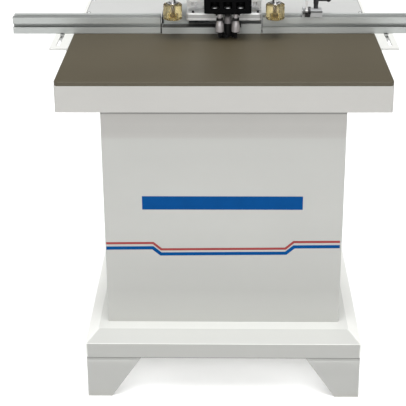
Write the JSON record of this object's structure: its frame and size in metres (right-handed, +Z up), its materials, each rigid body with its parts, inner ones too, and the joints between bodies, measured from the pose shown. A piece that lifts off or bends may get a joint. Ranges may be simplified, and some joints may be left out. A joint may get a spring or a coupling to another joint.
{
  "type": "hinge boring machine",
  "caption": "Floor-standing boring machine for cabinet hinges: a pedestal and table with a T-slot fence, a geared multi-spindle head on rails, press pads, a flip stop and dust suction.",
  "frame": {"origin": "on the floor, under the middle of the machine's bounding box", "axes": "+X to the operator's right along the fence, +Y away from the operator, +Z up"},
  "size_m": [1.124, 0.89, 1.405],
  "materials": {
    "white_paint": "satin powder coat",
    "work_board": "brown-grey laminate, slightly glossy",
    "plate_paint": "pale grey satin paint",
    "anodised": "anodised, drawn lines along its length",
    "machined": "milled, bright edges",
    "black_paint": "black paint, satin",
    "black_steel": "blackened tool steel",
    "bright_steel": "turned and ground",
    "chrome": "polished",
    "amber_pad": "amber polyurethane, glossy",
    "motor_paint": "blue-grey paint",
    "zinc": "zinc-plated sheet",
    "grey_plastic": "fine-grained moulding",
    "black_plastic": "fine-grained moulding",
    "green_plastic": "glossy",
    "red_plastic": "glossy",
    "clear_bowl": "clear polycarbonate, modelled as glass"
  },
  "bodies": {
    "frame": {"base_frame": "white_paint", "base_feet": "white_paint", "cabinet_shell": "white_paint", "door_hinge_pins": "zinc", "table_frame": "white_paint", "work_board": "work_board", "rear_table_plate": "plate_paint", "fence_brackets": "white_paint", "suction_housing": "anodised", "suction_duct": "grey_plastic", "blower_housing": "black_paint", "blower_motor": "motor_paint", "inner_shelf": "zinc", "head_base_plate": "machined", "upright": "machined", "linear_rails": "bright_steel", "lift_cylinder": "anodised", "holddown_arms": "machined", "holddown_cylinders": "anodised", "control_box": "grey_plastic", "air_regulator": "grey_plastic", "filter_bowl": "clear_bowl", "cable_gland": "black_plastic", "solenoid_valves": "black_plastic"},
    "fence": {"fence_profile_left": "anodised", "fence_strip": "anodised", "fence_profile_right": "anodised", "fence_clamps": "black_steel"},
    "stop_carriage": {"stop_block": "machined", "stop_fittings": "bright_steel"},
    "stop_finger": {"stop_finger": "bright_steel"},
    "stop_lever": {"stop_lever": "black_plastic"},
    "drill_head": {"head_saddle": "machined", "rail_carriages": "bright_steel", "gearbox_housing": "black_paint", "spindle_plate": "black_paint", "grease_caps": "chrome", "spindle_bearings": "bright_steel", "motor_housing": "motor_paint", "motor_fan_cover": "motor_paint", "lift_rod": "chrome", "depth_stop": "bright_steel"},
    "centre_spindle": {"centre_spindle": "bright_steel", "hinge_bit": "black_steel", "motor_rotor": "bright_steel"},
    "left_spindle": {"left_spindle": "bright_steel", "left_bit": "black_steel"},
    "right_spindle": {"right_spindle": "bright_steel", "right_bit": "black_steel"},
    "left_pad": {"pad_rod_left": "chrome", "press_pad_left": "amber_pad"},
    "right_pad": {"pad_rod_right": "chrome", "press_pad_right": "amber_pad"},
    "door": {"rear_door": "white_paint"},
    "door_latch": {"door_latch": "black_plastic"},
    "drawer": {"dust_drawer": "white_paint"},
    "start_button": {"start_button": "green_plastic"},
    "stop_button": {"stop_button": "red_plastic"},
    "regulator_knob": {"regulator_knob": "black_plastic"},
    "blower_impeller": {"blower_impeller": "zinc"}
  },
  "joints": [
    {"name": "head_feed", "type": "slide", "parent": "frame", "child": "drill_head", "axis": [0, 0, 1], "range_m": [0, 0.06]},
    {"name": "spindle_spin", "type": "hinge", "parent": "drill_head", "child": "centre_spindle", "pos_m": [0.01, 0.0106, 0.9], "axis": [0, 0, 1], "continuous": true},
    {"name": "left_spin", "type": "hinge", "parent": "drill_head", "child": "left_spindle", "pos_m": [-0.011, -0.0004, 0.9], "axis": [0, 0, 1], "continuous": true},
    {"name": "right_spin", "type": "hinge", "parent": "drill_head", "child": "right_spindle", "pos_m": [0.031, -0.0004, 0.9], "axis": [0, 0, 1], "continuous": true},
    {"name": "left_press", "type": "slide", "parent": "frame", "child": "left_pad", "axis": [0, 0, 1], "range_m": [-0.045, 0]},
    {"name": "right_press", "type": "slide", "parent": "frame", "child": "right_pad", "axis": [0, 0, 1], "range_m": [-0.045, 0]},
    {"name": "fence_adjust", "type": "slide", "parent": "frame", "child": "fence", "axis": [0, 1, 0], "range_m": [-0.02, 0]},
    {"name": "stop_travel", "type": "slide", "parent": "fence", "child": "stop_carriage", "axis": [1, 0, 0], "range_m": [-0.03, 0.28]},
    {"name": "stop_flip", "type": "hinge", "parent": "stop_carriage", "child": "stop_finger", "pos_m": [0.2175, 0.044, 0.8795], "axis": [1, 0, 0], "range_deg": [0, 180]},
    {"name": "lever_turn", "type": "hinge", "parent": "stop_carriage", "child": "stop_lever", "pos_m": [0.244, 0.0751, 0.886], "axis": [0, 0, 1], "range_deg": [-90, 90]},
    {"name": "door_swing", "type": "hinge", "parent": "frame", "child": "door", "pos_m": [-0.279, 0.3064, 0.55], "axis": [0, 0, 1], "range_deg": [0, 110]},
    {"name": "latch_turn", "type": "hinge", "parent": "door", "child": "door_latch", "pos_m": [0.14, 0.316, 0.556], "axis": [0, 1, 0], "range_deg": [0, 90]},
    {"name": "drawer_pull", "type": "slide", "parent": "frame", "child": "drawer", "axis": [0, 1, 0], "range_m": [0, 0.35]},
    {"name": "start_press", "type": "slide", "parent": "frame", "child": "start_button", "axis": [0, 1, 0], "range_m": [0, 0.003], "stiffness_N_per_m": 600, "springref_m": -0.002},
    {"name": "stop_press", "type": "slide", "parent": "frame", "child": "stop_button", "axis": [0, 1, 0], "range_m": [0, 0.004], "stiffness_N_per_m": 800, "springref_m": -0.002},
    {"name": "regulator_turn", "type": "hinge", "parent": "frame", "child": "regulator_knob", "pos_m": [0.222, 0.327, 0.62], "axis": [0, 0, 1], "range_deg": [0, 340]},
    {"name": "blower_spin", "type": "hinge", "parent": "frame", "child": "blower_impeller", "pos_m": [-0.033, 0.1686, 0.51], "axis": [0, 0, 1], "continuous": true}
  ],
  "couplings": [
    {"joint": "left_spin", "follows": "spindle_spin", "ratio": -1},
    {"joint": "right_spin", "follows": "spindle_spin", "ratio": -1}
  ]
}
